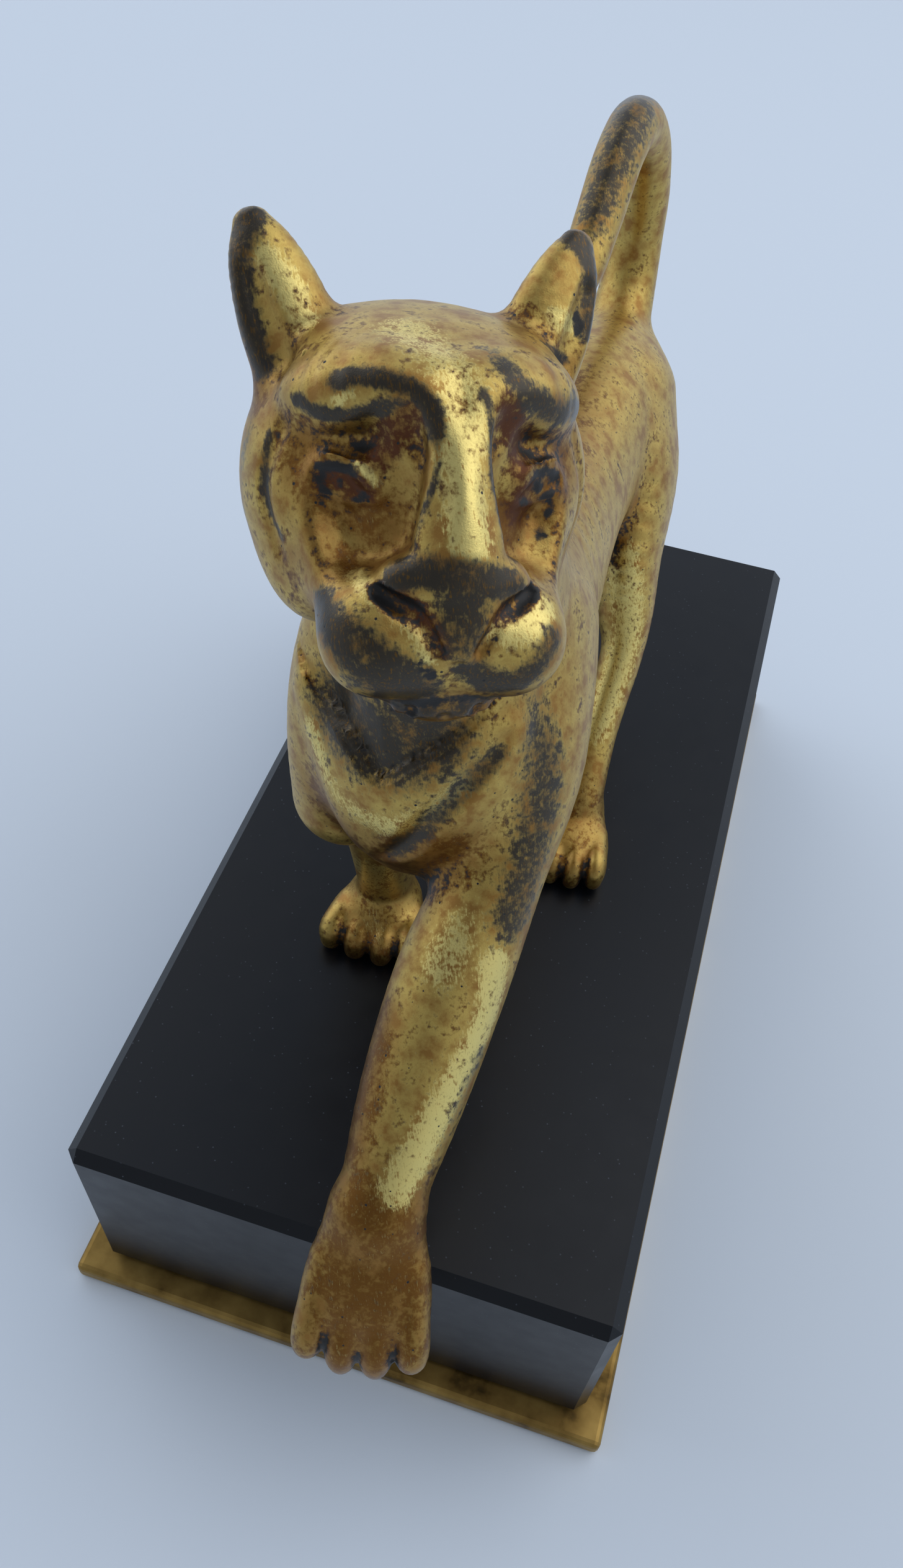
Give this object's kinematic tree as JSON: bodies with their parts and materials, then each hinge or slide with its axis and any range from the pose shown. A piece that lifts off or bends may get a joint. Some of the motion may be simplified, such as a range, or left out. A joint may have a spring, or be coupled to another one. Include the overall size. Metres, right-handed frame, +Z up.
{
  "type": "bronze panther statuette",
  "caption": "Small gilt bronze panther striding with its head turned and tail curled over its back, on a black stone block with a brass plate below.",
  "frame": {"origin": "middle of the brass plate's underside", "axes": "+Z up, -Y the way the panther walks, +X its left side"},
  "size_m": [0.071, 0.1474, 0.1309],
  "materials": {
    "plate_brass": "satin brass",
    "block_stone": "polished black stone",
    "cast_gilt_bronze": "worn gilding over dark bronze"
  },
  "bodies": {
    "root": {"brass_plate": "plate_brass", "plinth_block": "block_stone", "panther": "cast_gilt_bronze"}
  },
  "joints": []
}
